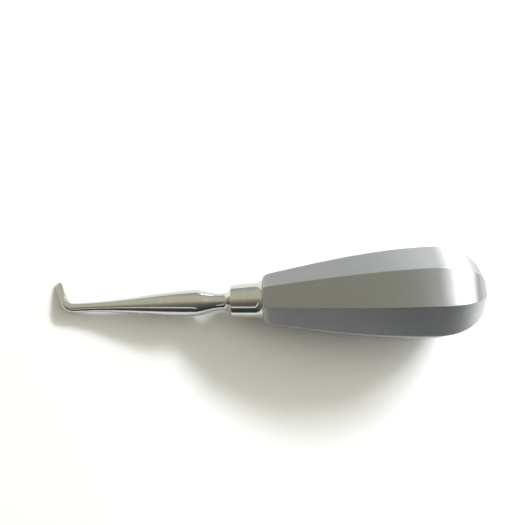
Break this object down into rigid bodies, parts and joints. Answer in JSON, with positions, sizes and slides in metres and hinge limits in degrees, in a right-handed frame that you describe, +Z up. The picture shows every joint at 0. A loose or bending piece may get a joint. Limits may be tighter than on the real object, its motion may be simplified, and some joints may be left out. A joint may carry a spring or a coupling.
{
  "type": "dental elevator",
  "caption": "Curved-tip dental elevator: a small bent blade on a slim polished shank, held by a turned ferrule in a hollow eight-sided pear-shaped handle.",
  "frame": {"origin": "on the surface the instrument lies on, under the middle of its bounding box", "axes": "+X runs from the blade to the butt, along the handle; +Y is the side that the blade bends to; +Z is up, the instrument lying on one facet of the handle and on its blade"},
  "size_m": [0.1483, 0.0296, 0.0305],
  "materials": {
    "forging_steel": "polished stainless steel with faint lengthwise polishing lines",
    "ferrule_steel": "mirror-polished turned stainless steel",
    "handle_steel": "satin stainless steel, finely brushed lengthwise, crests slightly worn bright",
    "socket_steel": "plain machined steel, hidden inside the handle"
  },
  "bodies": {
    "root": {"working_end": "forging_steel", "ferrule": "ferrule_steel", "handle_shell_upper": "handle_steel", "handle_shell_lower": "handle_steel", "tang_socket": "socket_steel", "tang_pin": "socket_steel"}
  },
  "joints": []
}
